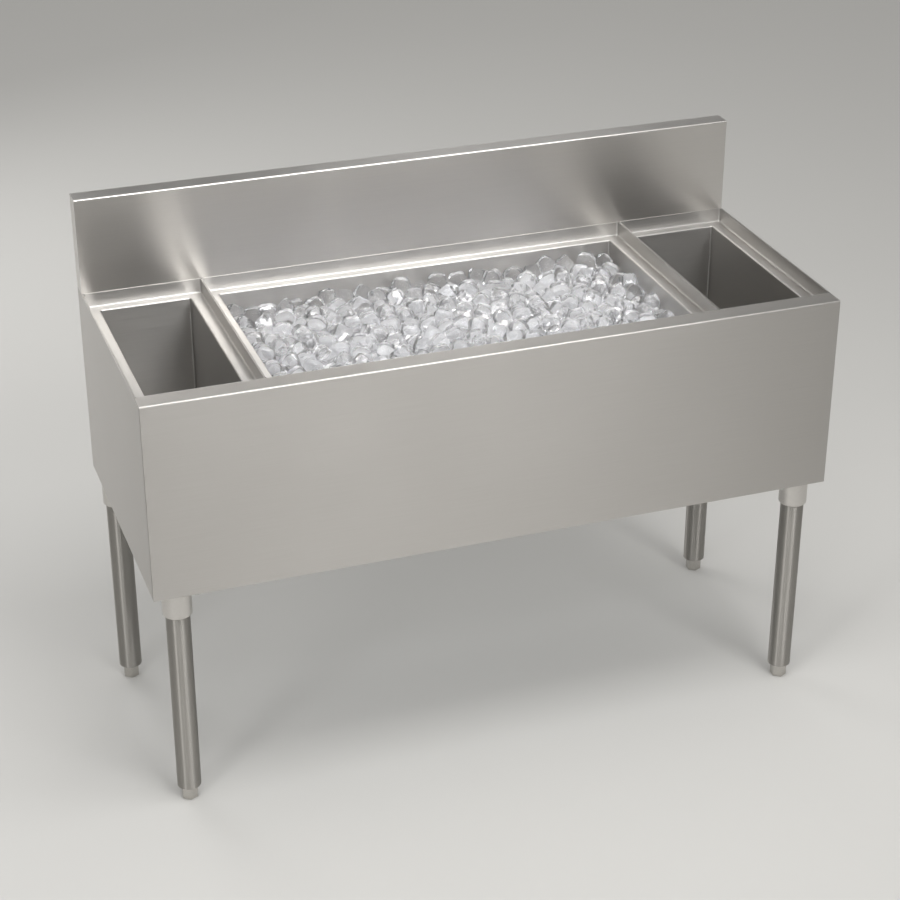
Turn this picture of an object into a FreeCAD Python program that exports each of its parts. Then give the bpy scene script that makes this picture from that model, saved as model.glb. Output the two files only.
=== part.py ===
import FreeCAD, Part
import math
import os
from types import SimpleNamespace

import Sketcher

# Underbar ice bin, in millimetres.
# Origin on the floor under the middle of the case: X along the length, the front faces -Y, Z up.
doc = FreeCAD.newDocument("IceBin")

# Driving dimensions
DRIVING = [
    # Case
    ("case_width", 1219.2),
    ("case_depth", 500),
    ("case_height", 352),
    ("rim_height", 770),
    ("sheet_thickness", 1.2),
    ("bend_radius", 2.5),
    ("rim_width", 36),
    ("corner_seam", 3),
    ("tray_flange", 20),
    # Backsplash
    ("splash_height", 172),
    ("splash_depth", 37),
    ("splash_hem", 25),
    ("splash_tuck", 18),
    # Compartments
    ("well_span", 211.5),
    ("liner_seam", 1.0),
    ("lip_gap", 0.6),
    ("ledge_drop", 26),
    ("side_ledge", 24),
    ("end_ledge", 18),
    ("bin_depth", 305),
    ("well_depth", 305),
    ("liner_corner", 3),
    ("ledge_cove", 3),
    # Insulation and ice
    ("foam_top_gap", 3),
    ("foam_drain_gap", 4),
    ("ice_level", 28),
    ("ice_unevenness", 18),
    ("ice_bed", 32),
    ("ice_cube", 36),
    ("ice_bevel", 7.7),
    ("ice_clearance", 1),
    ("ice_lift", 0.3),
    # Leg channels
    ("channel_inset", 5.5),
    ("channel_width", 80),
    ("channel_wall", 2),
    ("channel_end_gap", 8),
    # Leg sockets and their fasteners
    ("front_leg_inset", 43.6),
    ("rear_leg_inset", 27.6),
    ("front_leg_setback", 30),
    ("rear_leg_setback", 65),
    ("gusset_diameter", 50),
    ("gusset_height", 47),
    ("gusset_plate", 3),
    ("gusset_edge", 2.5),
    ("plate_reach", 45),
    ("plate_corner", 8),
    ("bolt_diameter", 8),
    ("bolt_flats", 13),
    ("bolt_head", 5.3),
    ("bolt_grip", 18),
    ("bolt_reach", 32),
    ("bolt_offset", 12),
    ("bolt_clearance", 0.4),
    ("nut_height", 6.5),
    ("nut_clearance", 0.05),
    ("set_screw_diameter", 6),
    ("set_screw_length", 6),
    ("set_screw_socket", 3),
    ("set_screw_rise", 14),
    ("screw_clearance", 0.1),
    # Legs and feet
    ("leg_diameter", 41.3),
    ("leg_wall", 1.6),
    ("leg_edge", 1.0),
    ("leg_clearance", 0.2),
    ("insert_length", 30),
    ("insert_clearance", 0.1),
    ("foot_height", 26),
    ("foot_flats", 26),
    ("foot_chamfer", 1),
    ("foot_gap", 0.3),
    ("stud_diameter", 15.9),
    ("stud_length", 52),
    ("stud_seat", 18),
    ("stud_clearance", 0.1),
    ("seat_clearance", 0.05),
    # Drains, shared
    ("gasket_thickness", 2),
    ("flange_thickness", 3),
    ("strainer_thickness", 1.5),
    ("strainer_clearance", 0.1),
    ("drain_step", 6),
    ("drain_tail", 40),
    ("drain_hole_clearance", 0.4),
    ("tray_hole_clearance", 1.5),
    ("locknut_height", 8),
    # Ice drain
    ("bin_drain_flange", 76),
    ("bin_drain_recess", 62),
    ("bin_drain_pipe", 33.4),
    ("bin_drain_tail", 32.6),
    ("bin_drain_bore", 26),
    ("bin_drain_nut", 46),
    ("bin_strainer_hole", 5),
    ("bin_strainer_inner", 10),
    ("bin_strainer_outer", 21),
    # Well drains
    ("well_drain_flange", 48),
    ("well_drain_recess", 36),
    ("well_drain_pipe", 21.3),
    ("well_drain_tail", 20.7),
    ("well_drain_bore", 15),
    ("well_drain_nut", 30),
    ("well_strainer_hole", 3.5),
    ("well_strainer_inner", 6),
    ("well_strainer_outer", 12.5),
]

sheet = doc.addObject("Spreadsheet::Sheet", "Sizes")
for row, (alias, number) in enumerate(DRIVING, start=1):
    sheet.set("A%d" % row, alias)
    sheet.set("B%d" % row, str(number))
    sheet.setAlias("B%d" % row, alias)
doc.recompute()


class Size:
    """A number of millimetres together with the spreadsheet expression that gives it."""

    def __init__(self, number, text):
        self.number = float(number)
        self.text = text

    def __add__(self, other):
        other = as_size(other)
        return Size(self.number + other.number, "(%s + %s)" % (self.text, other.text))

    def __sub__(self, other):
        other = as_size(other)
        return Size(self.number - other.number, "(%s - %s)" % (self.text, other.text))

    def __mul__(self, factor):
        return Size(self.number * factor, "(%s * %.9g)" % (self.text, factor))

    def __truediv__(self, factor):
        return Size(self.number / factor, "(%s / %.9g)" % (self.text, factor))

    def __neg__(self):
        return Size(-self.number, "(0 - %s)" % self.text)


def as_size(value):
    return value if isinstance(value, Size) else Size(value, "%.9g" % value)


s = SimpleNamespace(**{alias: Size(number, "Sizes." + alias) for alias, number in DRIVING})

# Levels and planes that the pieces share
half = s.case_width / 2
front = -s.case_depth / 2
rear = s.case_depth / 2
rim = s.rim_height
bottom = s.rim_height - s.case_height
thick = s.sheet_thickness
splash_front = rear - s.splash_depth
splash_top = rim + s.splash_height
rim_back = front + s.rim_width
ledge = rim - s.ledge_drop
partition = half - s.well_span
bin_floor = rim - s.bin_depth
well_floor = rim - s.well_depth
tray_top = bottom + thick
plate_under = bottom - s.gusset_plate
wall_front = rim_back + s.end_ledge
wall_rear = splash_front - s.end_ledge
bin_wall = partition - s.liner_seam / 2 - s.side_ledge
well_wall = partition + s.liner_seam / 2 + s.side_ledge
well_middle = (half - thick - s.lip_gap + partition + s.liner_seam / 2) / 2

nodes = []


# Modelling helpers
def bind(obj, path, size):
    obj.setExpression(path, as_size(size).text)


def move(obj, x=0, y=0, z=0):
    for axis, size in zip("xyz", (x, y, z)):
        bind(obj, "Placement.Base." + axis, size)


def node(label, obj):
    obj.Label = label
    nodes.append(obj)
    return obj


def span(a, b):
    a, b = as_size(a), as_size(b)
    return (a, b) if a.number <= b.number else (b, a)


def set_block(obj, xs, ys, zs):
    (x0, x1), (y0, y1), (z0, z1) = span(*xs), span(*ys), span(*zs)
    bind(obj, "Length", x1 - x0)
    bind(obj, "Width", y1 - y0)
    bind(obj, "Height", z1 - z0)
    move(obj, x0, y0, z0)
    return obj


def box(name, xs, ys, zs):
    return set_block(doc.addObject("Part::Box", name), xs, ys, zs)


def cylinder(name, x, y, zs, diameter):
    obj = doc.addObject("Part::Cylinder", name)
    z0, z1 = span(*zs)
    bind(obj, "Radius", diameter / 2)
    bind(obj, "Height", z1 - z0)
    move(obj, x, y, z0)
    return obj


def cross_cylinder(name, x, start, z, length, diameter, sign):
    """A cylinder lying along Y, from start towards the given sign."""
    obj = doc.addObject("Part::Cylinder", name)
    obj.Placement.Rotation = FreeCAD.Rotation(FreeCAD.Vector(0, 0, 1), FreeCAD.Vector(0, sign, 0))
    bind(obj, "Radius", diameter / 2)
    bind(obj, "Height", length)
    move(obj, x, start, z)
    return obj


def prism(name, x, y, zs, flats):
    obj = doc.addObject("Part::Prism", name)
    z0, z1 = span(*zs)
    obj.Polygon = 6
    bind(obj, "Circumradius", flats / math.sqrt(3))
    bind(obj, "Height", z1 - z0)
    move(obj, x, y, z0)
    return obj


def fuse(name, *shapes):
    obj = doc.addObject("Part::MultiFuse", name)
    obj.Shapes = list(shapes)
    return obj


def cut(name, base, *tools):
    obj = doc.addObject("Part::Cut", name)
    obj.Base = base
    obj.Tool = tools[0] if len(tools) == 1 else fuse(name + "_tools", *tools)
    return obj


def common(name, *shapes):
    obj = doc.addObject("Part::MultiCommon", name)
    obj.Shapes = list(shapes)
    return obj


def group(name, shapes):
    obj = doc.addObject("Part::Compound", name)
    obj.Links = list(shapes)
    return obj


def new_body(name):
    return doc.addObject("PartDesign::Body", name)


def plane_of(body, role):
    return [f for f in body.Origin.OriginFeatures if f.Role == role][0]


def block(body, name, xs, ys, zs):
    return set_block(body.newObject("PartDesign::AdditiveBox", name), xs, ys, zs)


def round_edges(body, name, radius, pick):
    doc.recompute()
    base = body.Tip
    names = ["Edge%d" % i for i, edge in enumerate(base.Shape.Edges, start=1) if pick(edge)]
    feature = body.newObject("PartDesign::Fillet", name)
    feature.Base = (base, names)
    bind(feature, "Radius", radius)
    return feature


def upright(edge):
    return edge.BoundBox.XLength < 1e-4 and edge.BoundBox.YLength < 1e-4


def at_level(edge, size):
    return abs(edge.BoundBox.ZMin - size.number) < 1e-4 and abs(edge.BoundBox.ZMax - size.number) < 1e-4


def profile(body, name, role, corners):
    """A closed sketch of square corners; a corner with a third value is rounded to that radius."""
    sketch = body.newObject("Sketcher::SketchObject", name)
    sketch.AttachmentSupport = [(plane_of(body, role), "")]
    sketch.MapMode = "FlatFace"
    corners = [(as_size(c[0]), as_size(c[1]), c[2] if len(c) > 2 else None) for c in corners]
    count = len(corners)
    enter, leave, turn = [], [], []
    for i, (u, v, radius) in enumerate(corners):
        arms = []
        for other in (corners[i - 1], corners[(i + 1) % count]):
            du = other[0].number - u.number
            dv = other[1].number - v.number
            reach = math.hypot(du, dv)
            arms.append((round(du / reach), round(dv / reach)))
        points = [(u, v)] * 2 if radius is None else [(u + radius * a, v + radius * b) for a, b in arms]
        enter.append(points[0])
        leave.append(points[1])
        turn.append(arms)
    for i in range(count):
        start, end = leave[i], enter[(i + 1) % count]
        sketch.addGeometry(Part.LineSegment(
            FreeCAD.Vector(start[0].number, start[1].number, 0),
            FreeCAD.Vector(end[0].number, end[1].number, 0)))

    def hold(line, end, point, tag):
        for letter, kind, size in (("u", "DistanceX", point[0]), ("v", "DistanceY", point[1])):
            index = sketch.addConstraint(Sketcher.Constraint(kind, -1, 1, line, end, size.number))
            sketch.renameConstraint(index, letter + tag)
            sketch.setExpression("Constraints." + letter + tag, size.text)

    for i, (u, v, radius) in enumerate(corners):
        before = (i - 1) % count
        hold(i, 1, leave[i], "out%d" % i)
        if radius is None:
            sketch.addConstraint(Sketcher.Constraint("Coincident", before, 2, i, 1))
            continue
        hold(before, 2, enter[i], "in%d" % i)
        (a0, b0), (a1, b1) = turn[i]
        r = radius.number
        centre = FreeCAD.Vector(u.number + r * (a0 + a1), v.number + r * (b0 + b1), 0)
        left_turn = -a0 * b1 + b0 * a1 > 0
        first, last = (enter[i], leave[i]) if left_turn else (leave[i], enter[i])
        angles = [math.atan2(p[1].number - centre.y, p[0].number - centre.x) for p in (first, last)]
        circle = Part.Circle(centre, FreeCAD.Vector(0, 0, 1), r)
        arc = sketch.addGeometry(Part.ArcOfCircle(circle, angles[0], angles[1]))
        ends = (1, 2) if left_turn else (2, 1)
        sketch.addConstraint(Sketcher.Constraint("Coincident", before, 2, arc, ends[0]))
        sketch.addConstraint(Sketcher.Constraint("Coincident", i, 1, arc, ends[1]))
        index = sketch.addConstraint(Sketcher.Constraint("Radius", arc, r))
        sketch.renameConstraint(index, "r%d" % i)
        sketch.setExpression("Constraints.r%d" % i, radius.text)
    return sketch


def pad(body, name, sketch, length, symmetric=False):
    feature = body.newObject("PartDesign::Pad", name)
    feature.Profile = sketch
    feature.SideType = "Symmetric" if symmetric else "One side"
    bind(feature, "Length", length)
    return feature


def turned(label, corners, x=0, y=0):
    """A body turned about its own upright axis from a profile of radius and height."""
    body = new_body(label)
    sketch = profile(body, label + "_section", "XZ_Plane", corners)
    feature = body.newObject("PartDesign::Revolution", label + "_turning")
    feature.Profile = sketch
    feature.ReferenceAxis = (sketch, ["V_Axis"])
    feature.Angle = 360
    move(body, x, y)
    return body


# Front panel: face, rounded top edge and flat rim, bent from one sheet
inner_bend = s.bend_radius - thick
front_body = new_body("front_panel")
front_section = profile(front_body, "front_section", "YZ_Plane", [
    (front, bottom),
    (front, rim, s.bend_radius),
    (rim_back, rim),
    (rim_back, rim - thick),
    (front + thick, rim - thick, inner_bend),
    (front + thick, bottom),
])
pad(front_body, "front_pad", front_section, s.case_width, symmetric=True)
node("front_panel", front_body)

# End panels: each stops a seam short of the front panel and is notched for the rim
for side, sign in (("left", -1), ("right", 1)):
    label = side + "_side_panel"
    outer, inner = half * sign, (half - thick) * sign
    sheet_box = box(label + "_sheet", (outer, inner), (front + thick + s.corner_seam, rear), (bottom, rim))
    notch = box(label + "_notch", (outer + sign, inner - sign), (front, rim_back), (rim - thick, rim + 1))
    node(label, cut(label, sheet_box, notch))

# Backsplash: front face, top and rear hem, with a cap over each end
splash_body = new_body("backsplash")
splash_section = profile(splash_body, "splash_section", "YZ_Plane", [
    (splash_front, rim - s.splash_tuck),
    (splash_front, splash_top, s.bend_radius),
    (rear, splash_top, s.bend_radius),
    (rear, splash_top - s.splash_hem),
    (rear - thick, splash_top - s.splash_hem),
    (rear - thick, splash_top - thick, inner_bend),
    (splash_front + thick, splash_top - thick, inner_bend),
    (splash_front + thick, rim - s.splash_tuck),
])
pad(splash_body, "splash_pad", splash_section, s.case_width - thick * 2, symmetric=True)
node("backsplash", splash_body)
for side, place in (("left", -half), ("right", half - thick)):
    label = "backsplash_%s_cap" % side
    cap_body = new_body(label)
    cap_section = profile(cap_body, label + "_section", "YZ_Plane", [
        (splash_front, rim),
        (splash_front, splash_top, s.bend_radius),
        (rear, splash_top, s.bend_radius),
        (rear, rim),
    ])
    pad(cap_body, label + "_pad", cap_section, thick)
    move(cap_body, place)
    node(label, cap_body)

# Back panel: up to the hem of the backsplash
node("back_panel", box("back_panel", (-half + thick, half - thick), (rear - thick, rear),
                       (bottom, splash_top - s.splash_hem)))


# Liners: each is welded from a flat floor and four bent sheets, which have the upstand, cove, ledge and wall
# of one side and are mitred at the corners. The whole is an outer form less an inner form.
def liner_form(name, xs, inset, floor, top, corner, cove, bend):
    """One skin of a liner: inset is 0 for the outer skin and the sheet thickness for the inner one."""
    body = new_body(name)
    shelf = ledge - thick + inset
    low_xs = (xs[0] + s.side_ledge + inset, xs[1] - s.side_ledge - inset)
    low_ys = (wall_front + inset, wall_rear - inset)
    block(body, name + "_well", low_xs, low_ys, (floor, shelf + 1))
    round_edges(body, name + "_well_corners", corner, upright)
    block(body, name + "_collar", (xs[0] + inset, xs[1] - inset),
          (rim_back + inset, splash_front - inset), (shelf, top))
    x0 = (xs[0] + inset).number
    x1 = (xs[1] - inset).number

    def collar_edge(e):
        outer = min(abs(e.BoundBox.XMin - x0), abs(e.BoundBox.XMax - x1)) < 1e-4
        long_sides = at_level(e, shelf) and e.BoundBox.XLength > x1 - x0 - 1e-3
        return (outer and (upright(e) or at_level(e, shelf))) or long_sides

    round_edges(body, name + "_collar_cove", cove, collar_edge)

    def ledge_edge(e):
        inside = e.BoundBox.XMin > low_xs[0].number - 1e-3 and e.BoundBox.XMax < low_xs[1].number + 1e-3
        return inside and at_level(e, shelf)

    round_edges(body, name + "_ledge_bend", bend, ledge_edge)
    return body


def mitre(x, y, way_x, way_y):
    """Points of the mitre at one corner, in plan: outside, past the cove, before the ledge bend, inside."""
    def along(u, v, step):
        return u + step * way_x, v + step * way_y

    wall_x, wall_y = x + (s.side_ledge + thick) * way_x, y + (s.end_ledge + thick) * way_y
    return (along(x, y, -thick), along(x, y, s.ledge_cove + thick), along(wall_x, wall_y, -s.bend_radius),
            along(wall_x, wall_y, s.liner_corner + thick))


def liner(label, xs, floor, drain_x, pipe):
    outer = liner_form(label + "_outer", xs, as_size(0), floor - thick, rim,
                       s.liner_corner + thick, s.ledge_cove + thick, inner_bend)
    inner = liner_form(label + "_inner", xs, thick, floor, rim + 1,
                       s.liner_corner, s.ledge_cove, s.bend_radius)
    hole = cylinder(label + "_drain_hole", drain_x, 0, (floor - thick * 2, floor + thick),
                    pipe + s.drain_hole_clearance * 2)
    tub = cut(label + "_tub", outer, inner, hole)
    floor_zone = box(label + "_floor_zone", xs, (rim_back, splash_front), (floor - thick, floor))
    sheets = [common(label + "_floor", tub, floor_zone)]
    corners = [mitre(xs[0], rim_back, 1, 1), mitre(xs[1], rim_back, -1, 1),
               mitre(xs[1], splash_front, -1, -1), mitre(xs[0], splash_front, 1, -1)]
    for i, side in enumerate(("front", "right", "rear", "left")):
        name = "%s_%s" % (label, side)
        start, end = corners[i], corners[(i + 1) % 4]
        zone = new_body(name + "_zone")
        outline = profile(zone, name + "_outline", "XY_Plane", [start[0], *end, *start[:0:-1]])
        pad(zone, name + "_zone_pad", outline, rim - floor + 1)
        move(zone, 0, 0, floor)
        sheets.append(common(name, tub, zone))
    node(label, group(label, sheets))


well_outer = half - thick - s.lip_gap
well_inner = partition + s.liner_seam / 2
bin_outer = partition - s.liner_seam / 2
liner("left_well_liner", (-well_outer, -well_inner), well_floor, -well_middle, s.well_drain_pipe)
liner("ice_bin_liner", (-bin_outer, bin_outer), bin_floor, as_size(0), s.bin_drain_pipe)
liner("right_well_liner", (well_inner, well_outer), well_floor, well_middle, s.well_drain_pipe)

# Insulation: five slabs of foam around the ice compartment
foam_top = ledge - thick - s.foam_top_gap
foam_ys = (front + thick * 2, rear - thick * 2)
node("foam_front", box("foam_front", (-bin_wall, bin_wall), (foam_ys[0], wall_front), (tray_top, foam_top)))
node("foam_rear", box("foam_rear", (-bin_wall, bin_wall), (wall_rear, foam_ys[1]), (tray_top, foam_top)))
node("foam_left", box("foam_left", (-well_wall, -bin_wall), foam_ys, (tray_top, foam_top)))
node("foam_right", box("foam_right", (bin_wall, well_wall), foam_ys, (tray_top, foam_top)))
foam_slab = box("foam_slab", (-bin_wall, bin_wall), (wall_front, wall_rear), (tray_top, bin_floor - thick))
foam_hole = cylinder("foam_hole", 0, 0, (bottom, bin_floor),
                     s.bin_drain_nut * (2 / math.sqrt(3)) + s.foam_drain_gap * 2)
node("foam_bottom", cut("foam_bottom", foam_slab, foam_hole))


# Drains: flanged spud, gasket, locknut and perforated strainer in each floor
def drain(label, x, floor, d, inner_count, outer_count):
    seat = floor + s.gasket_thickness
    top = seat + s.flange_thickness
    recess = top - s.strainer_thickness
    step = bottom - s.drain_step
    node(label + "_spud", turned(label + "_spud", [
        (d.bore / 2, step - s.drain_tail),
        (d.tail / 2, step - s.drain_tail),
        (d.tail / 2, step),
        (d.pipe / 2, step),
        (d.pipe / 2, seat),
        (d.flange / 2, seat),
        (d.flange / 2, top),
        (d.recess / 2, top),
        (d.recess / 2, recess),
        (d.bore / 2, recess),
    ], x))
    fit = d.pipe + s.nut_clearance * 2
    ring = cylinder(label + "_ring", x, 0, (floor, seat), d.flange - s.gasket_thickness)
    ring_hole = cylinder(label + "_ring_hole", x, 0, (floor - 1, seat + 1), d.pipe + s.drain_hole_clearance * 2)
    node(label + "_gasket", cut(label + "_gasket", ring, ring_hole))
    nut_zs = (floor - thick - s.locknut_height, floor - thick)
    nut = prism(label + "_nut", x, 0, nut_zs, d.nut)
    nut_hole = cylinder(label + "_nut_hole", x, 0, (nut_zs[0] - 1, nut_zs[1] + 1), fit)
    node(label + "_locknut", cut(label + "_locknut", nut, nut_hole))

    body = new_body(label + "_strainer")
    disc = body.newObject("PartDesign::AdditiveCylinder", label + "_disc")
    bind(disc, "Radius", d.recess / 2 - s.strainer_clearance)
    bind(disc, "Height", s.strainer_thickness)
    move(disc, 0, 0, recess)
    body.Tip = disc
    for ring_name, count, ring_radius in (("inner", inner_count, d.inner), ("outer", outer_count, d.outer)):
        drill = body.newObject("PartDesign::SubtractiveCylinder", "%s_%s_hole" % (label, ring_name))
        bind(drill, "Radius", d.hole / 2)
        bind(drill, "Height", s.strainer_thickness + 2)
        move(drill, ring_radius, 0, recess - 1)
        body.Tip = drill
        doc.recompute()
        pattern = body.newObject("PartDesign::PolarPattern", "%s_%s_holes" % (label, ring_name))
        pattern.Originals = [drill]
        pattern.Axis = (plane_of(body, "Z_Axis"), [""])
        pattern.Angle = 360
        pattern.Occurrences = count
        body.Tip = pattern
    move(body, x)
    node(label + "_strainer", body)


def drain_sizes(kind):
    return SimpleNamespace(
        flange=getattr(s, kind + "_drain_flange"), recess=getattr(s, kind + "_drain_recess"),
        pipe=getattr(s, kind + "_drain_pipe"), tail=getattr(s, kind + "_drain_tail"),
        bore=getattr(s, kind + "_drain_bore"), nut=getattr(s, kind + "_drain_nut"),
        hole=getattr(s, kind + "_strainer_hole"), inner=getattr(s, kind + "_strainer_inner"),
        outer=getattr(s, kind + "_strainer_outer"))


drain("bin_drain", as_size(0), bin_floor, drain_sizes("bin"), 6, 14)
drain("left_well_drain", -well_middle, well_floor, drain_sizes("well"), 5, 12)
drain("right_well_drain", well_middle, well_floor, drain_sizes("well"), 5, 12)

# Leg places, and the three bolts that hold each socket plate
legs = []
bolt_places = []
for end, end_sign, inset, y in (
        ("front", -1, s.front_leg_inset, front + s.front_leg_setback),
        ("rear", 1, s.rear_leg_inset, rear - s.rear_leg_setback)):
    for side, side_sign in (("left", -1), ("right", 1)):
        x = (half - inset) * side_sign
        legs.append((end + "_" + side, side_sign, end_sign, x, y))
        for reach_x, reach_y in ((s.bolt_reach, -s.bolt_offset),
                                 (s.bolt_reach, s.bolt_reach),
                                 (-s.bolt_offset, s.bolt_reach)):
            bolt_places.append((end + "_" + side, side, x - reach_x * side_sign, y - reach_y * end_sign))


def bolt_holes(name, zs, wanted):
    return [cylinder("%s_bolt_hole_%d" % (name, i), x, y, zs, s.bolt_diameter + s.bolt_clearance * 2)
            for i, (leg, side, x, y) in enumerate(bolt_places) if wanted in (leg, side, "all")]


# Bottom tray: upturned flanges inside the panels, holes for the drains and the leg bolts
tray_outer = box("tray_outer", (-half + thick, half - thick), (front + thick, rear - thick),
                 (bottom, bottom + s.tray_flange))
tray_inner = box("tray_inner", (-half + thick * 2, half - thick * 2), (front + thick * 2, rear - thick * 2),
                 (tray_top, bottom + s.tray_flange + 1))
tray_drains = [
    cylinder("tray_hole_" + name, x, 0, (bottom - 1, tray_top + 1), pipe + s.tray_hole_clearance * 2)
    for name, x, pipe in (("left", -well_middle, s.well_drain_pipe), ("bin", 0, s.bin_drain_pipe),
                          ("right", well_middle, s.well_drain_pipe))]
node("bottom_tray", cut("bottom_tray", tray_outer, tray_inner, *tray_drains,
                        *bolt_holes("tray", (bottom - 1, tray_top + 1), "all")))

# Leg channels: each carries a well floor and takes the bolts of two sockets
for side, sign in (("left", -1), ("right", 1)):
    label = side + "_leg_channel"
    outer = (half - s.channel_inset) * sign
    inner = (half - s.channel_inset - s.channel_width) * sign
    ys = (front + s.channel_end_gap, rear - s.channel_end_gap)
    bar = box(label + "_bar", (outer, inner), ys, (tray_top, well_floor - thick))
    trough = box(label + "_trough", (outer - s.channel_wall * sign, inner + s.channel_wall * sign),
                 (ys[0] - 1, ys[1] + 1), (tray_top + s.channel_wall, well_floor))
    node(label, cut(label, bar, trough,
                    *bolt_holes(label, (bottom, tray_top + s.channel_wall + 1), side)))

# Leg sockets: a plate under the tray with a cup welded to its outer corner
socket_end = bottom - s.gusset_height
set_screws = []
for leg, side_sign, end_sign, x, y in legs:
    label = "gusset_" + leg
    cup = new_body(label + "_cup")
    wall = cup.newObject("PartDesign::AdditiveCylinder", label + "_wall")
    bind(wall, "Radius", s.gusset_diameter / 2)
    bind(wall, "Height", bottom - socket_end)
    move(wall, x, y, socket_end)
    cup.Tip = wall
    round_edges(cup, label + "_lip", s.gusset_edge, lambda e: at_level(e, socket_end))
    plate = new_body(label + "_plate")
    block(plate, label + "_flat",
          (x + s.gusset_diameter * side_sign / 2, x - s.plate_reach * side_sign),
          (y + s.gusset_diameter * end_sign / 2, y - s.plate_reach * end_sign),
          (plate_under, bottom))
    round_edges(plate, label + "_corners", s.plate_corner, upright)
    bore = cylinder(label + "_bore", x, y, (socket_end - 1, plate_under), s.leg_diameter + s.leg_clearance * 2)
    screw_z = socket_end + s.set_screw_rise
    tapping = cross_cylinder(label + "_tapping", x, y, screw_z, s.gusset_diameter,
                             s.set_screw_diameter + s.screw_clearance * 2, -end_sign)
    socket = fuse(label + "_weld", cup, plate)
    node(label, cut(label, socket, bore, tapping,
                    *bolt_holes(label, (plate_under - 1, bottom + 1), leg)))
    tip = y - (s.leg_diameter / 2 + s.screw_clearance) * end_sign
    screw = cross_cylinder(label + "_screw", x, tip, screw_z, s.set_screw_length, s.set_screw_diameter, -end_sign)
    key = doc.addObject("Part::Prism", label + "_key")
    key.Polygon = 6
    key.Placement.Rotation = FreeCAD.Rotation(FreeCAD.Vector(0, 0, 1), FreeCAD.Vector(0, -end_sign, 0))
    bind(key, "Circumradius", s.set_screw_socket / math.sqrt(3))
    bind(key, "Height", s.set_screw_length)
    move(key, x, tip - s.set_screw_length * end_sign / 2, screw_z)
    set_screws.append(cut(label + "_set_screw", screw, key))
node("leg_set_screws", group("leg_set_screws", set_screws))

# Socket bolts and their nuts inside the channels
bolts, nuts = [], []
nut_seat = tray_top + s.channel_wall
for i, (leg, side, x, y) in enumerate(bolt_places):
    head = prism("bolt_head_%d" % i, x, y, (plate_under - s.bolt_head, plate_under), s.bolt_flats)
    shank = cylinder("bolt_shank_%d" % i, x, y, (plate_under - s.bolt_head / 2, plate_under + s.bolt_grip),
                     s.bolt_diameter)
    bolts.append(fuse("bolt_%d" % i, head, shank))
    blank = prism("nut_blank_%d" % i, x, y, (nut_seat, nut_seat + s.nut_height), s.bolt_flats)
    thread = cylinder("nut_thread_%d" % i, x, y, (nut_seat - 1, nut_seat + s.nut_height + 1),
                      s.bolt_diameter + s.nut_clearance * 2)
    nuts.append(cut("nut_%d" % i, blank, thread))
node("gusset_bolts", group("gusset_bolts", bolts))
node("gusset_nuts", group("gusset_nuts", nuts))

# Legs: tube, threaded insert in its lower end, and the screw foot in two pieces
tube_bore = s.leg_diameter - s.leg_wall * 2
hex_top = s.foot_height - s.foot_gap
FOOT_TWIST = 25  # degrees that each hex foot stands turned from square to the case
for leg, side_sign, end_sign, x, y in legs:
    node("leg_tube_" + leg, turned("leg_tube_" + leg, [
        (tube_bore / 2, s.foot_height),
        (s.leg_diameter / 2, s.foot_height, s.leg_edge),
        (s.leg_diameter / 2, plate_under),
        (tube_bore / 2, plate_under),
    ], x, y))
    node("leg_insert_" + leg, turned("leg_insert_" + leg, [
        (s.stud_diameter / 2 + s.stud_clearance, s.foot_height),
        (tube_bore / 2 - s.insert_clearance, s.foot_height),
        (tube_bore / 2 - s.insert_clearance, s.foot_height + s.insert_length),
        (s.stud_diameter / 2 + s.stud_clearance, s.foot_height + s.insert_length),
    ], x, y))
    stud_foot = hex_top - s.stud_seat + s.seat_clearance
    node("foot_stud_" + leg, cylinder("foot_stud_" + leg, x, y, (stud_foot, hex_top + s.stud_length),
                                      s.stud_diameter))
    body = new_body("foot_hex_" + leg)
    hexagon = body.newObject("PartDesign::AdditivePrism", "foot_hexagon_" + leg)
    hexagon.Polygon = 6
    bind(hexagon, "Circumradius", s.foot_flats / math.sqrt(3))
    bind(hexagon, "Height", hex_top)
    hexagon.Placement.Rotation = FreeCAD.Rotation(FreeCAD.Vector(0, 0, 1), FOOT_TWIST)
    body.Tip = hexagon
    doc.recompute()
    sole = ["Face%d" % i for i, face in enumerate(hexagon.Shape.Faces, start=1) if face.BoundBox.ZMax < 1e-4]
    taper = body.newObject("PartDesign::Chamfer", "foot_taper_" + leg)
    taper.Base = (hexagon, sole)
    bind(taper, "Size", s.foot_chamfer)
    body.Tip = taper
    seat = body.newObject("PartDesign::SubtractiveCylinder", "foot_seat_" + leg)
    bind(seat, "Radius", s.stud_diameter / 2 + s.seat_clearance)
    bind(seat, "Height", s.stud_seat + 1)
    move(seat, 0, 0, hex_top - s.stud_seat)
    body.Tip = seat
    move(body, x, y)
    node("foot_hex_" + leg, body)

# Ice: a closed bed with a layer of loose cubes set in its top, clear of the liner and the drain
heap_x = bin_wall - thick - s.ice_clearance
heap_ys = (wall_front + thick + s.ice_clearance, wall_rear - thick - s.ice_clearance)
heap_middle = (heap_ys[0] + heap_ys[1]) / 2
heap_depth = heap_ys[1] - heap_ys[0]
heap_base = bin_floor + s.ice_lift
heap_top = rim - s.ice_level
bed_body = new_body("ice_bed_form")
block(bed_body, "ice_block", (-heap_x, heap_x), heap_ys, (heap_base, heap_top - s.ice_bed))
round_edges(bed_body, "ice_corners", s.liner_corner, lambda e: upright(e) or at_level(e, heap_base))
heap_pocket = cylinder("ice_pocket", 0, 0, (bin_floor, bin_floor + s.gasket_thickness + s.flange_thickness
                                            + s.ice_lift), s.bin_drain_flange + s.ice_clearance * 2)
ice_bed = cut("ice_bed", bed_body, heap_pocket)

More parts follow.
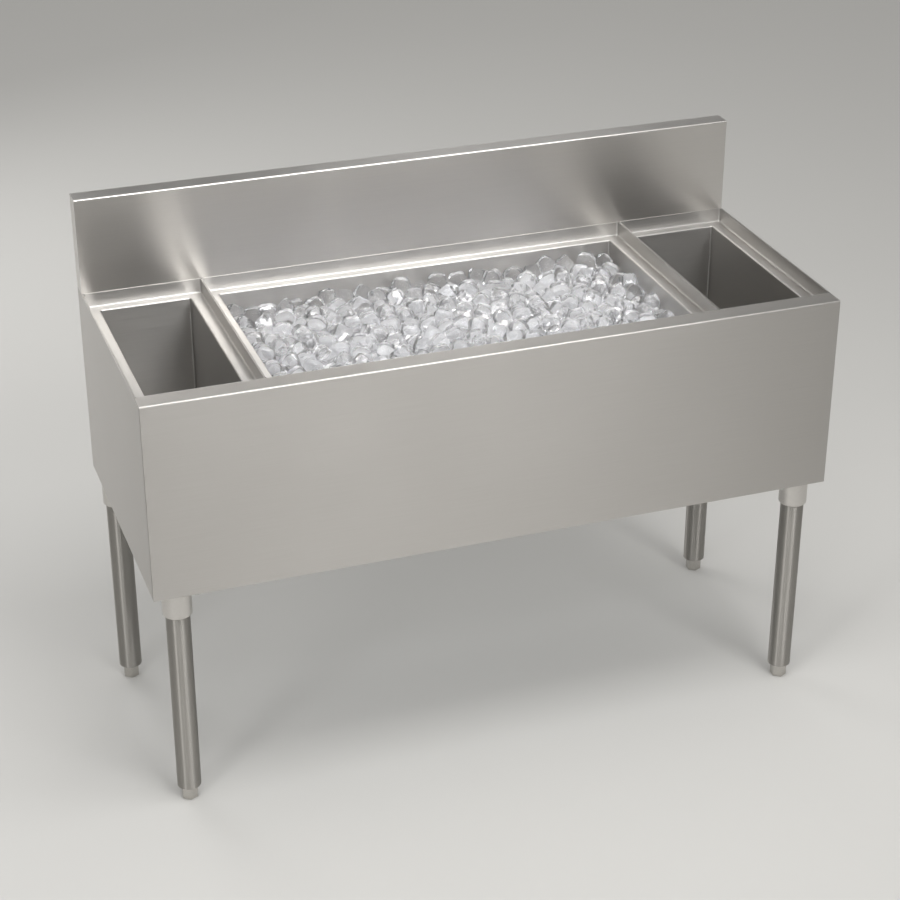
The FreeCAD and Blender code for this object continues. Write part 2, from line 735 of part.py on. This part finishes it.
CUBE_COUNT = 245
CUBE_SCALES = (1, 0.93, 0.86)  # the cubes come in three sizes, the smaller ones more melted
CUBE_CLOSENESS = 0.87  # of two corner radii: the bevelled faces lie closer than the corners
SETTLING_ROUNDS = 80
cube_forms = []
for i, scale in enumerate(CUBE_SCALES):
    form = new_body("ice_cube_%d" % i)
    edge = s.ice_cube * scale
    cube = block(form, "ice_cube_block_%d" % i, *[(-edge / 2, edge / 2)] * 3)
    doc.recompute()
    bevel = form.newObject("PartDesign::Chamfer", "ice_cube_bevel_%d" % i)
    bevel.Base = (cube, ["Edge%d" % k for k in range(1, len(cube.Shape.Edges) + 1)])
    bind(bevel, "Size", s.ice_bevel * scale)
    form.Tip = bevel
    cube_forms.append(form)
cube_half = s.ice_cube.number / 2
cube_reach = math.sqrt(cube_half ** 2 + 2 * (cube_half - s.ice_bevel.number) ** 2)


def spread(i, step):
    """The i-th term of a sequence that fills the span from 0 to 1 evenly."""
    return (0.5 + i * step) % 1


def settled(cubes, half_x, half_y):
    """The cubes, each a list of x, y, z and radius, pushed apart in plan until neighbours only touch."""
    for _ in range(SETTLING_ROUNDS):
        shifts = [[0.0, 0.0] for _ in cubes]
        for i, (x, y, z, radius) in enumerate(cubes):
            for j in range(i):
                near = (radius + cubes[j][3]) * CUBE_CLOSENESS
                dx = x - cubes[j][0]
                dy = y - cubes[j][1]
                if abs(dx) > near or abs(dy) > near:
                    continue
                apart = max(math.hypot(dx, dy), 0.001)
                wanted = math.sqrt(max(near ** 2 - (z - cubes[j][2]) ** 2, 0))
                share = max(wanted - apart, 0) * 0.3 / apart
                shifts[i][0] += dx * share
                shifts[i][1] += dy * share
                shifts[j][0] -= dx * share
                shifts[j][1] -= dy * share
        for cube, (dx, dy) in zip(cubes, shifts):
            cube[0] = min(max(cube[0] + dx, cube[3] - half_x), half_x - cube[3])
            cube[1] = min(max(cube[1] + dy, cube[3] - half_y), half_y - cube[3])
    return cubes


cubes = []
for i in range(CUBE_COUNT):
    x = heap_x.number * (2 * spread(i, 0.7548776662) - 1)
    y = heap_depth.number * (spread(i, 0.5698402910) - 0.5)
    radius = cube_reach * CUBE_SCALES[i % 3]
    cubes.append([x, y, -radius - s.ice_unevenness.number * spread(i, 0.4142135624), radius])
loose = []
for i, (x, y, z, radius) in enumerate(settled(cubes, heap_x.number, heap_depth.number / 2)):
    link = doc.addObject("App::Link", "ice_cube_at_%d" % i)
    link.LinkedObject = cube_forms[i % 3]
    link.Placement.Rotation = FreeCAD.Rotation(
        90 * spread(i, 0.6180339887), 90 * spread(i, 0.2360679775), 90 * spread(i, 0.3027756377))
    move(link, heap_x * (x / heap_x.number), heap_middle + heap_depth * (y / heap_depth.number),
         heap_top - s.ice_unevenness * spread(i, 0.4142135624) - s.ice_cube * (radius / s.ice_cube.number))
    loose.append(link)
node("ice_heap", fuse("ice_heap", ice_bed, *loose))

# Check every object, then write one file for each piece
doc.recompute()
for obj in doc.Objects:
    if "Invalid" in obj.State or "Error" in obj.State:
        raise RuntimeError("%s did not rebuild: %s" % (obj.Label, obj.State))
os.makedirs("parts", exist_ok=True)
for obj in nodes:
    if obj.Shape.isNull() or not obj.Shape.isValid() or not obj.Shape.Solids:
        raise RuntimeError("%s has no sound solid" % obj.Label)
    obj.Shape.exportStep("parts/%s.step" % obj.Label)
print("wrote %d pieces" % len(nodes))
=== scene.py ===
import math

import bpy
import numpy as np
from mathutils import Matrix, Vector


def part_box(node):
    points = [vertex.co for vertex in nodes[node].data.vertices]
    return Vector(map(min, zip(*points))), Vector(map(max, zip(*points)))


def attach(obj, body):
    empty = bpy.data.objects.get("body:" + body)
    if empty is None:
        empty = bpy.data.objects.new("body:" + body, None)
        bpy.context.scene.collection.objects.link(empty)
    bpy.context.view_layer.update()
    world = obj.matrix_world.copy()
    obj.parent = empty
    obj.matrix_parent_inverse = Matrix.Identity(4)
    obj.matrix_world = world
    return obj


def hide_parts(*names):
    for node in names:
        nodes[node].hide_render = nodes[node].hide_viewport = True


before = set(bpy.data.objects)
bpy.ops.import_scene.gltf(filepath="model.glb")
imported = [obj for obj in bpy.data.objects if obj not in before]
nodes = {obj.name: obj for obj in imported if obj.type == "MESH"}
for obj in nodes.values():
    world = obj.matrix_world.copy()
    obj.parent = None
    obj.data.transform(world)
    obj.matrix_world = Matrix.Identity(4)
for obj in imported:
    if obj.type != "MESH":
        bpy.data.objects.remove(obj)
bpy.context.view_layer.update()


# Case panels: 1.2 mm stainless sheet, folded on a brake and welded where it meets under the rim.
# The outside has a No. 4 finish: a belt leaves fine scratches along the length of each sheet,
# so reflections smear across the grain and the faces read as soft, even grey.
def linear(colour):
    """Linear RGBA of an sRGB hex colour, by the straight and the curved part of the sRGB scale."""
    parts = np.array([int(colour[i:i + 2], 16) for i in (0, 2, 4)]) / 255
    values = np.where(parts <= 0.04045, parts / 12.92, ((parts + 0.055) / 1.055) ** 2.4)
    return (*values.tolist(), 1.0)


def add(tree, kind, settings, inputs):
    """Adds a node. An input given as a socket is linked to it, any other value is set."""
    made = tree.nodes.new(kind)
    for name, value in settings.items():
        setattr(made, name, value)
    for name, value in inputs.items():
        if isinstance(value, bpy.types.NodeSocket):
            tree.links.new(value, made.inputs[name])
        else:
            made.inputs[name].default_value = value
    return made


def new_material(name):
    """A material with an empty node tree, the tree, and its Object coordinates, which are metres."""
    made = bpy.data.materials.new(name)
    made.use_nodes = True
    made.node_tree.nodes.clear()
    place = add(made.node_tree, "ShaderNodeTexCoord", {}, {})
    return made, made.node_tree, place.outputs["Object"]


def surface(tree, inputs):
    """Ends a material's tree in one principled surface."""
    shader = add(tree, "ShaderNodeBsdfPrincipled", {}, inputs)
    add(tree, "ShaderNodeOutputMaterial", {}, {"Surface": shader.outputs["BSDF"]})


def dress(names, finish):
    """Gives CAD nodes one finish."""
    for name in names:
        nodes[name].data.materials.clear()
        nodes[name].data.materials.append(finish)


MM_PER_M = 1000  # over a pattern's size in millimetres, this is its scale on Object coordinates
MIX_SHARE, MIX_FROM, MIX_TO, MIXED = 0, 6, 7, 2  # sockets of a colour mix, whose names aren't unique
NOISE_LOW, NOISE_HIGH = 0.25, 0.75  # noise seldom leaves this span
WIPE_CLOUD_MM = 181.8  # wiping leaves clouds of this size that are a little duller
WIPE_DULLING = 0.08  # roughness added where a cloud is thickest
FURROW_DEPTH = 0.0004  # metres
ACROSS_GRAIN = 0.25  # of a turn
UP = (0, 0, 1)
FRONT_TO_BACK, LEFT_TO_RIGHT = (0, 0.02, 0), (0.02, 0, 0)  # short, so upright faces stay scratched level


def brushed_steel(name, light, dark, grain_mm, roughness, stretch, relief, lay=FRONT_TO_BACK, wear=0.04):
    """Scratched steel: noise drawn out to grain_mm along X, Y and Z tints, dulls and furrows the metal.
    stretch pulls highlights out across the scratches, which run level round the upright faces and along lay
    on the level ones. wear is how far the roughness strays from scratch to scratch."""
    made, tree, place = new_material(name)
    scale = [MM_PER_M / size for size in grain_mm]
    grain = add(tree, "ShaderNodeMapping", {}, {"Vector": place, "Scale": scale}).outputs["Vector"]
    streak = add(tree, "ShaderNodeTexNoise", {}, {"Vector": grain, "Scale": 1.0, "Detail": 3.0})
    cloud = add(tree, "ShaderNodeTexNoise", {},
                {"Vector": place, "Scale": MM_PER_M / WIPE_CLOUD_MM, "Detail": 2.0})
    tone = add(tree, "ShaderNodeMix", {"data_type": "RGBA"},
               {MIX_SHARE: streak.outputs["Fac"], MIX_FROM: linear(dark), MIX_TO: linear(light)})
    dull = add(tree, "ShaderNodeMapRange", {},
               {"Value": streak.outputs["Fac"], "From Min": NOISE_LOW, "From Max": NOISE_HIGH,
                "To Min": roughness - wear, "To Max": roughness + wear})
    worn = add(tree, "ShaderNodeMath", {"operation": "MULTIPLY_ADD"},
               {0: cloud.outputs["Fac"], 1: WIPE_DULLING, 2: dull.outputs["Result"]})
    furrow = add(tree, "ShaderNodeBump", {},
                 {"Strength": relief, "Distance": FURROW_DEPTH, "Height": streak.outputs["Fac"]})
    # up crossed with the way the face looks is level; on level faces it is nothing, and lay is left
    facing = add(tree, "ShaderNodeTexCoord", {}, {}).outputs["Normal"]
    level = add(tree, "ShaderNodeVectorMath", {"operation": "CROSS_PRODUCT"}, {0: UP, 1: facing})
    scratch = add(tree, "ShaderNodeVectorMath", {"operation": "ADD"}, {0: level.outputs["Vector"], 1: lay})
    surface(tree, {"Base Color": tone.outputs[MIXED], "Metallic": 1.0, "Roughness": worn.outputs["Value"],
                   "Anisotropic": stretch, "Anisotropic Rotation": ACROSS_GRAIN,
                   "Tangent": scratch.outputs["Vector"], "Normal": furrow.outputs["Normal"]})
    return made


# scratches, here and on the steel below, are drawn 1.4 mm wide or more, not the real 0.1 mm, so they show
panel_steel = brushed_steel("stainless_no4_panel", "C2BFBB", "B8B5B1", grain_mm=(120, 120, 1.4),
                            roughness=0.38, stretch=0.85, relief=0.05)
dress(["front_panel", "left_side_panel", "right_side_panel"], panel_steel)

# Backsplash: the same sheet, folded over the top into a box and capped at both ends.
# It is polished with a finer belt, so it mirrors what stands before it: the wells as dark clouds at its ends,
# the ice as a pale middle and each partition's ledge as a bright streak.
splash_steel = brushed_steel("stainless_fine_no4_backsplash", "D8D5D1", "D2CFCB", grain_mm=(120, 120, 1.4),
                             roughness=0.27, stretch=0.72, relief=0.0, wear=0.008)
dress(["backsplash", "backsplash_left_cap", "backsplash_right_cap"], splash_steel)

# Liners: satin sheet, bent to an upstand, a ledge and a wall, and welded into tubs with ground corners.
# The walls mirror each other and darken towards the floor, and the ledges, rubbed from left to right, catch
# the light from above. The strainers in their drains are punched from the same sheet.
DRAINS = ("left_well_drain", "bin_drain", "right_well_drain")
liner_steel = brushed_steel("stainless_satin_liner", "C8C6C3", "BEBCB9", grain_mm=(80, 80, 1.8),
                            roughness=0.32, stretch=0.75, relief=0.04, lay=LEFT_TO_RIGHT)
dress(["left_well_liner", "ice_bin_liner", "right_well_liner"], liner_steel)
dress([drain + "_strainer" for drain in DRAINS], liner_steel)


# Back panel, bottom tray and leg channels: hot-dipped galvanised sheet, out of sight in use.
# The zinc freezes into flat crystals a few millimetres across, each a slightly different grey.
def galvanised(name, light, dark, spangle_mm, smooth, rough):
    """Zinc spangle: cells of spangle_mm, each with its own grey and a roughness from smooth to rough."""
    made, tree, place = new_material(name)
    crystal = add(tree, "ShaderNodeTexVoronoi", {}, {"Vector": place, "Scale": MM_PER_M / spangle_mm})
    shade = add(tree, "ShaderNodeSeparateColor", {}, {"Color": crystal.outputs["Color"]})
    tone = add(tree, "ShaderNodeMix", {"data_type": "RGBA"},
               {MIX_SHARE: shade.outputs["Red"], MIX_FROM: linear(dark), MIX_TO: linear(light)})
    dull = add(tree, "ShaderNodeMapRange", {},
               {"Value": shade.outputs["Green"], "To Min": smooth, "To Max": rough})
    surface(tree, {"Base Color": tone.outputs[MIXED], "Metallic": 1.0, "Roughness": dull.outputs["Result"]})
    return made


dress(["back_panel", "bottom_tray", "left_leg_channel", "right_leg_channel"],
      galvanised("galvanised_sheet", "B9BDBF", "9CA1A4", spangle_mm=9.0, smooth=0.38, rough=0.55))


# Insulation: rigid polyurethane, foamed in place between the ice liner and the case.
# It sets to a straw-coloured mass of closed cells with a dull skin.
AGED_PATCH_MM = 71.43


def foam(name, light, dark, cell_mm, roughness, relief, depth):
    """Closed cells: bumps of cell_mm, depth metres high, over patches that have yellowed more."""
    made, tree, place = new_material(name)
    cell = add(tree, "ShaderNodeTexVoronoi", {}, {"Vector": place, "Scale": MM_PER_M / cell_mm})
    age = add(tree, "ShaderNodeTexNoise", {},
              {"Vector": place, "Scale": MM_PER_M / AGED_PATCH_MM, "Detail": 2.0})
    tone = add(tree, "ShaderNodeMix", {"data_type": "RGBA"},
               {MIX_SHARE: age.outputs["Fac"], MIX_FROM: linear(dark), MIX_TO: linear(light)})
    bumps = add(tree, "ShaderNodeBump", {},
                {"Strength": relief, "Distance": depth, "Height": cell.outputs["Distance"]})
    surface(tree, {"Base Color": tone.outputs[MIXED], "Roughness": roughness,
                   "Normal": bumps.outputs["Normal"]})
    return made


dress(["foam_front", "foam_rear", "foam_left", "foam_right", "foam_bottom"],
      foam("rigid_polyurethane_foam", "E2CF95", "CDB574", cell_mm=1.5, roughness=0.85, relief=0.4,
           depth=0.0006))


# Drains: turned brass spuds under nickel plate, drawn down on rubber gaskets by a hex locknut.
# The plate is smooth and slightly warm; the rubber is dull black.
def bright_metal(name, colour, smooth, rough, mottle_mm):
    """Plated or turned metal: its roughness goes from smooth to rough over patches of mottle_mm."""
    made, tree, place = new_material(name)
    mottle = add(tree, "ShaderNodeTexNoise", {},
                 {"Vector": place, "Scale": MM_PER_M / mottle_mm, "Detail": 3.0})
    dull = add(tree, "ShaderNodeMapRange", {},
               {"Value": mottle.outputs["Fac"], "To Min": smooth, "To Max": rough})
    surface(tree, {"Base Color": linear(colour), "Metallic": 1.0, "Roughness": dull.outputs["Result"]})
    return made


def rubber(name, colour, grit_mm, roughness, relief, depth):
    """Moulded rubber: dull, with a fine grit of grit_mm, depth metres high, left by the mould."""
    made, tree, place = new_material(name)
    grit = add(tree, "ShaderNodeTexNoise", {}, {"Vector": place, "Scale": MM_PER_M / grit_mm, "Detail": 2.0})
    bumps = add(tree, "ShaderNodeBump", {},
                {"Strength": relief, "Distance": depth, "Height": grit.outputs["Fac"]})
    surface(tree, {"Base Color": linear(colour), "Roughness": roughness, "Normal": bumps.outputs["Normal"]})
    return made


dress([drain + piece for drain in DRAINS for piece in ("_spud", "_locknut")],
      bright_metal("nickel_plated_brass", "D5D0C6", smooth=0.14, rough=0.30, mottle_mm=6.0))
dress([drain + "_gasket" for drain in DRAINS],
      rubber("nitrile_rubber", "1E1E1F", grit_mm=1.2, roughness=0.75, relief=0.2, depth=0.0002))

# Legs: 41 mm stainless tube, polished round, so each lamp shows as an upright stripe along it.
# A tube sits in a smooth cast socket under the case, and a threaded insert closes its lower end.
LEGS = ("front_left", "front_right", "rear_left", "rear_right")
# the tube's greys are the steel's colour made darker than the sheet's: painted shade for the dark room each
# leg would mirror
painted_dark_tube_steel = brushed_steel("stainless_polished_tube_painted_dark", "B2AFAA", "A7A49F", grain_mm=(2.2, 2.2, 160),
                           roughness=0.40, stretch=0.95, relief=0.0)
socket_steel = brushed_steel("stainless_satin_socket", "D6D3CF", "CCC9C5", grain_mm=(5, 5, 5),
                             roughness=0.32, stretch=0.3, relief=0.02)
dress(["leg_tube_" + leg for leg in LEGS], painted_dark_tube_steel)
dress([piece + leg for leg in LEGS for piece in ("gusset_", "leg_insert_")], socket_steel)

# Feet and fasteners: hex feet of turned stainless on zinc-plated screws, which turn to level the bin.
# The bolts, nuts and set screws are bought parts, cold headed and plated. All are bright, a little mottled.
foot_steel = bright_metal("stainless_turned_foot", "C4C1BC", smooth=0.14, rough=0.30, mottle_mm=4.0)
zinc_plate = bright_metal("bright_zinc_plate", "C9CBC8", smooth=0.18, rough=0.34, mottle_mm=3.0)
dress(["foot_hex_" + leg for leg in LEGS], foot_steel)
dress(["foot_stud_" + leg for leg in LEGS] + ["gusset_bolts", "gusset_nuts", "leg_set_screws"], zinc_plate)


# Ice: clear machine-made cubes, a little melted, heaped loose in the middle compartment.
# Below the top layers so many faces scatter the light that the mass turns milky white.
def rounded_block(line, power):
    """The surface |x|^p + |y|^p + |z|^p = 1: each side of a cube is a grid of two parameters that take the
    values in line, from -1 to 1, and every grid point is drawn in along its radius."""
    steps = len(line) - 1
    u, v = (grid.ravel() for grid in np.meshgrid(line, line, indexing="ij"))
    top = np.stack([u, v, np.ones_like(u)], 1)
    around = [np.roll(top, turn, axis=1) for turn in range(3)]
    points = np.concatenate([side * sign for side in around for sign in (1, -1)])
    points /= (np.abs(points) ** power).sum(1, keepdims=True) ** (1 / power)
    first = (np.arange(steps)[:, None] * (steps + 1) + np.arange(steps)).ravel()
    quad = np.stack([first, first + steps + 1, first + steps + 2, first + 1], 1)
    count = (steps + 1) ** 2
    quads = np.concatenate([(quad if side % 2 == 0 else quad[:, ::-1]) + side * count for side in range(6)])
    joined, index = np.unique(points.round(6), axis=0, return_inverse=True)
    return joined, index.reshape(-1)[quads]


def mesh_piece(name, points, faces, finish):
    """A smooth mesh object at the origin from whole arrays of points and four-cornered faces."""
    mesh = bpy.data.meshes.new(name)
    mesh.vertices.add(len(points))
    mesh.vertices.foreach_set("co", points.astype(np.float32).ravel())
    mesh.loops.add(faces.size)
    mesh.loops.foreach_set("vertex_index", faces.astype(np.int32).ravel())
    mesh.polygons.add(len(faces))
    mesh.polygons.foreach_set("loop_start", np.arange(0, faces.size, faces.shape[1], dtype=np.int32))
    mesh.polygons.foreach_set("use_smooth", np.ones(len(faces), bool))
    mesh.update(calc_edges=True)
    mesh.materials.append(finish)
    made = bpy.data.objects.new(name, mesh)
    bpy.context.scene.collection.objects.link(made)
    return made


def spread(index, step):
    """Terms of a sequence that fills the span from 0 to 1 evenly."""
    return (0.5 + index * step) % 1


TOUCHING = 0.87  # melted cubes touch with their centres this share of their two reaches apart


def settle(spot, radii, reach, rounds, give=0.3, least=1e-6):
    """Top layer at rest: in each round every pair that is nearer than its radii allow is pushed apart in
    plan by the share give of what it lacks, all pairs at once, and no cube leaves the compartment. No pair
    counts as nearer than least."""
    near = (radii[:, None] + radii) * TOUCHING
    gap = np.sqrt(np.maximum(near ** 2 - (spot[:, None, 2] - spot[:, 2]) ** 2, 0))
    np.fill_diagonal(gap, 0)
    for _ in range(rounds):
        line = spot[:, None, :2] - spot[:, :2]
        apart = np.maximum(np.linalg.norm(line, axis=-1), least)
        share = np.maximum(gap - apart, 0) * give / apart
        moved = spot[:, :2] + (line * share[..., None]).sum(1)
        spot[:, :2] = np.clip(moved, radii[:, None] - reach, reach - radii[:, None])
    return spot


def nestle(spot, radii, free, low, high, rounds, search=8, margin=0.012, give=0.8, lift=0.0014, least=1e-9):
    """Cubes below the top layer: the free ones float up each round, by lift at first and then less, and each
    pair that overlaps is pushed apart along the line between its centres by the share give, so they close
    the gaps from underneath. Pairs within margin of each other are sought anew every search rounds, and
    least keeps the distance between two centres above nothing."""
    for step in range(rounds):
        if step % search == 0:
            apart = np.linalg.norm(spot[:, None] - spot, axis=-1)
            a, b = np.nonzero(np.triu(apart < radii[:, None] + radii + margin, 1))
            loose = free[a] + free[b] > 0
            a, b = a[loose], b[loose]
            share = give * free[[a, b]] / (free[a] + free[b])
        line = spot[a] - spot[b]
        length = np.linalg.norm(line, axis=1) + least
        press = np.clip(TOUCHING * (radii[a] + radii[b]) - length, 0, None)
        shift = line * (press / length)[:, None]
        np.add.at(spot, a, shift * share[0][:, None])
        np.add.at(spot, b, -shift * share[1][:, None])
        spot[:, 2] += lift * (1 - step / rounds) * free
        spot = np.where(free[:, None] > 0, np.clip(spot, low + radii[:, None], high - radii[:, None]), spot)
    return spot


ICE_IOR = 1.31


def clear_ice(name, colour, melt_mm, relief, depth, roughness, clearness):
    """Ice cube: clear by the share clearness and else milky, with ripples of melt_mm, depth metres high,
    that bend what shows through."""
    made, tree, place = new_material(name)
    ripple = add(tree, "ShaderNodeTexNoise", {},
                 {"Vector": place, "Scale": MM_PER_M / melt_mm, "Detail": 2.0})
    bumps = add(tree, "ShaderNodeBump", {},
                {"Strength": relief, "Distance": depth, "Height": ripple.outputs["Fac"]})
    surface(tree, {"Base Color": linear(colour), "Roughness": roughness, "IOR": ICE_IOR,
                   "Transmission Weight": clearness, "Normal": bumps.outputs["Normal"]})
    return made


def milky_ice(name, light, dark, crystal_mm, relief, depth, roughness):
    """Packed ice: cells of crystal_mm in two whites, bumps depth metres high, with a wet gloss."""
    made, tree, place = new_material(name)
    crystal = add(tree, "ShaderNodeTexVoronoi", {}, {"Vector": place, "Scale": MM_PER_M / crystal_mm})
    tone = add(tree, "ShaderNodeMix", {"data_type": "RGBA"},
               {MIX_SHARE: crystal.outputs["Distance"], MIX_FROM: linear(light), MIX_TO: linear(dark)})
    bumps = add(tree, "ShaderNodeBump", {},
                {"Strength": relief, "Distance": depth, "Height": crystal.outputs["Distance"]})
    surface(tree, {"Base Color": tone.outputs[MIXED], "Roughness": roughness, "IOR": ICE_IOR,
                   "Normal": bumps.outputs["Normal"]})
    return made


CUBES = 245  # in the top layer, the same cubes as in the CAD heap
CUBES_BELOW = 240
CUBE_EDGE = 0.036
CUBE_REACH = 0.02316  # from the middle to a bevelled corner in the CAD heap
CUBE_SIZES = np.array([1, 0.93, 0.86])  # the smaller ones have melted more
HEAP_TOP = 0.742  # 28 mm below the rim
UNEVENNESS = 0.018  # of the top layer, from its highest cubes to its lowest
BELOW_DROP = 0.050  # the lower cubes start this far down, and stay between the next two heights
BELOW_LOW, BELOW_HIGH = -0.100, -0.016
X_STEP, Y_STEP, Z_STEP = 0.7548776662, 0.5698402910, 0.4142135624  # from one cube to the next
TURN_STEPS = (0.6180339887, 0.2360679775, 0.3027756377)  # for yaw, pitch and roll up to a quarter turn
heap_low, heap_high = (np.array(corner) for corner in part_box("ice_heap"))
heap_middle = (heap_low + heap_high) / 2
reach = (heap_high - heap_low)[:2] / 2
index = np.arange(CUBES + CUBES_BELOW)
scales = CUBE_SIZES[index % len(CUBE_SIZES)]
radii = CUBE_REACH * scales
spot = np.stack([reach[0] * (2 * spread(index, X_STEP) - 1),
                 reach[1] * (2 * spread(index, Y_STEP) - 1),
                 -radii - UNEVENNESS * spread(index, Z_STEP)], 1)
spot[:CUBES] = settle(spot[:CUBES], radii[:CUBES], reach, rounds=80)
spot[CUBES:, 2] -= BELOW_DROP
below = (index >= CUBES).astype(float)
spot = nestle(spot, radii, below, np.array([*-reach, BELOW_LOW]), np.array([*reach, BELOW_HIGH]), rounds=120)
spot += [heap_middle[0], heap_middle[1], HEAP_TOP]

yaw, pitch, roll = (math.pi / 2 * spread(index, step) for step in TURN_STEPS)
cy, sy, cp, sp, cr, sr = np.cos(yaw), np.sin(yaw), np.cos(pitch), np.sin(pitch), np.cos(roll), np.sin(roll)
spin = np.stack([cy * cp, cy * sp * sr - sy * cr, cy * sp * cr + sy * sr,
                 sy * cp, sy * sp * sr + cy * cr, sy * sp * cr - cy * sr,
                 -sp, cp * sr, cp * cr], 1).reshape(-1, 3, 3)
CUBE_LINE = np.array([-1, -0.58, 0.58, 1])  # a flat middle between rounded edges
MELT_SEED, MELT_SHARE = 11, 0.025  # melting draws each point in or out by about this share
cube, cube_quads = rounded_block(CUBE_LINE, power=3.0)
draw = np.random.default_rng(MELT_SEED)
melt = 1 + draw.normal(scale=MELT_SHARE, size=(len(index), len(cube), 1))
cubes = np.einsum("cij,cvj->cvi", spin, cube * melt * (scales * CUBE_EDGE / 2)[:, None, None]) + spot[:, None]
quads = cube_quads + (index * len(cube))[:, None, None]
ice_cubes = mesh_piece("ice_cubes", cubes[:CUBES].reshape(-1, 3), quads[:CUBES].reshape(-1, 4),
                       clear_ice("clear_cube_ice", "FDFDFE", melt_mm=9.0, relief=0.4, depth=0.002,
                                 roughness=0.03, clearness=0.93))
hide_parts("ice_heap")
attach(ice_cubes, "case")

CORE_LINES = 25
CORE_CLEARANCE = 0.001
CORE_DROP = 0.052  # from the highest cubes to the top of the core
core, core_quads = rounded_block(np.linspace(-1, 1, CORE_LINES), power=12.0)
core_low = heap_low + CORE_CLEARANCE
core_high = np.array([heap_high[0] - CORE_CLEARANCE, heap_high[1] - CORE_CLEARANCE, HEAP_TOP - CORE_DROP])
core = core * (core_high - core_low) / 2 + (core_high + core_low) / 2
packed = np.concatenate([cubes[CUBES:].reshape(-1, 3), core])
packed_quads = np.concatenate([(quads[CUBES:] - CUBES * len(cube)).reshape(-1, 4),
                               core_quads + CUBES_BELOW * len(cube)])
ice_core = mesh_piece("ice_core", packed, packed_quads,
                      milky_ice("milky_packed_ice", "F8F8F9", "DEDFE1", crystal_mm=16.0, relief=0.5,
                                depth=0.004, roughness=0.3))
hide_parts("ice_heap")
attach(ice_core, "case")


# Studio: a wide pale floor under a soft overhead light that fades towards the walls of the room.
# Six soft boxes model the steel: two gridded ones in front that keep off the floor, one at the left that
# draws a stripe down each leg, two behind for the end panel and the rims, and one overhead for the ice.
FLOOR_REACH = 40.0  # far enough for its edge to stay out of low views
FLOOR_PATCH_MM = 333.3


def pale_floor(name, colour, smooth, rough):
    """Matt painted floor whose roughness goes from smooth to rough over its patches."""
    made, tree, place = new_material(name)
    patch = add(tree, "ShaderNodeTexNoise", {},
                {"Vector": place, "Scale": MM_PER_M / FLOOR_PATCH_MM, "Detail": 2.0})
    dull = add(tree, "ShaderNodeMapRange", {},
               {"Value": patch.outputs["Fac"], "To Min": smooth, "To Max": rough})
    surface(tree, {"Base Color": linear(colour), "Roughness": dull.outputs["Result"]})
    return made


corners = np.array([[-1, -1, 0], [1, -1, 0], [1, 1, 0], [-1, 1, 0]]) * FLOOR_REACH
floor = mesh_piece("studio_floor", corners, np.array([[0, 1, 2, 3]]),
                   pale_floor("pale_matt_floor", "C6C5C2", smooth=0.60, rough=0.75))

GLOW_START, GLOW_FULL = 0.42, 1.0  # height over the horizon, where straight up is 1
WALL_LIGHT, CEILING_LIGHT = 0.14, 1.05
world = bpy.data.worlds.new("studio_room")
bpy.context.scene.world = world
world.use_nodes = True
world.node_tree.nodes.clear()
sky = add(world.node_tree, "ShaderNodeTexCoord", {}, {})
height = add(world.node_tree, "ShaderNodeSeparateXYZ", {}, {"Vector": sky.outputs["Generated"]})
glow = add(world.node_tree, "ShaderNodeMapRange", {"interpolation_type": "SMOOTHSTEP"},
           {"Value": height.outputs["Z"], "From Min": GLOW_START, "From Max": GLOW_FULL,
            "To Min": WALL_LIGHT, "To Max": CEILING_LIGHT})
room = add(world.node_tree, "ShaderNodeBackground", {},
           {"Color": linear("FFFEFC"), "Strength": glow.outputs["Result"]})
add(world.node_tree, "ShaderNodeOutputWorld", {}, {"Surface": room.outputs["Background"]})

BIN_MIDDLE = np.array([0.0, 0.0, 0.6])  # the lamps face it
# name, place and size in metres, power in watts, cone in degrees
SOFT_BOXES = (("front_softbox", (0.9, -3.2, 3.0), (2.0, 1.4), 15.0, 80),
              ("front_left_softbox", (-1.6, -3.4, 2.2), (1.0, 1.0), 3.0, 80),
              ("left_softbox", (-2.8, -2.3, 1.7), (0.7, 2.0), 24.0, 180),
              ("rear_left_softbox", (-1.3, 2.8, 1.6), (1.6, 0.8), 20.0, 180),
              ("rear_softbox", (0.8, 2.8, 2.6), (0.9, 0.5), 5.0, 180),
              ("overhead_softbox", (0.0, -0.7, 2.9), (2.4, 0.9), 27.0, 180))
for lamp_name, place, size, power, cone in SOFT_BOXES:
    lamp = bpy.data.lights.new(lamp_name, "AREA")
    lamp.shape = "RECTANGLE"
    lamp.size, lamp.size_y = size
    lamp.energy = power
    lamp.spread = math.radians(cone)
    stand = bpy.data.objects.new(lamp_name, lamp)
    bpy.context.scene.collection.objects.link(stand)
    away = np.array(place) - BIN_MIDDLE
    stand.location = place
    stand.rotation_euler = (math.atan2(math.hypot(away[0], away[1]), away[2]), 0,
                            math.atan2(away[1], away[0]) + math.pi / 2)

CAMERA_PLACE = (-1.1466, -3.1901, 2.2463)
CAMERA_DIP, CAMERA_HEADING = 27.72, -19.59  # degrees below level, and from straight at the back
camera = bpy.data.cameras.new("photo_camera")
camera.sensor_width = 36.0
camera.lens = 85.5
tripod = bpy.data.objects.new("photo_camera", camera)
bpy.context.scene.collection.objects.link(tripod)
tripod.location = CAMERA_PLACE
tripod.rotation_euler = (math.radians(90 - CAMERA_DIP), 0, math.radians(CAMERA_HEADING))
bpy.context.scene.camera = tripod
bpy.context.scene.view_settings.view_transform = "Standard"
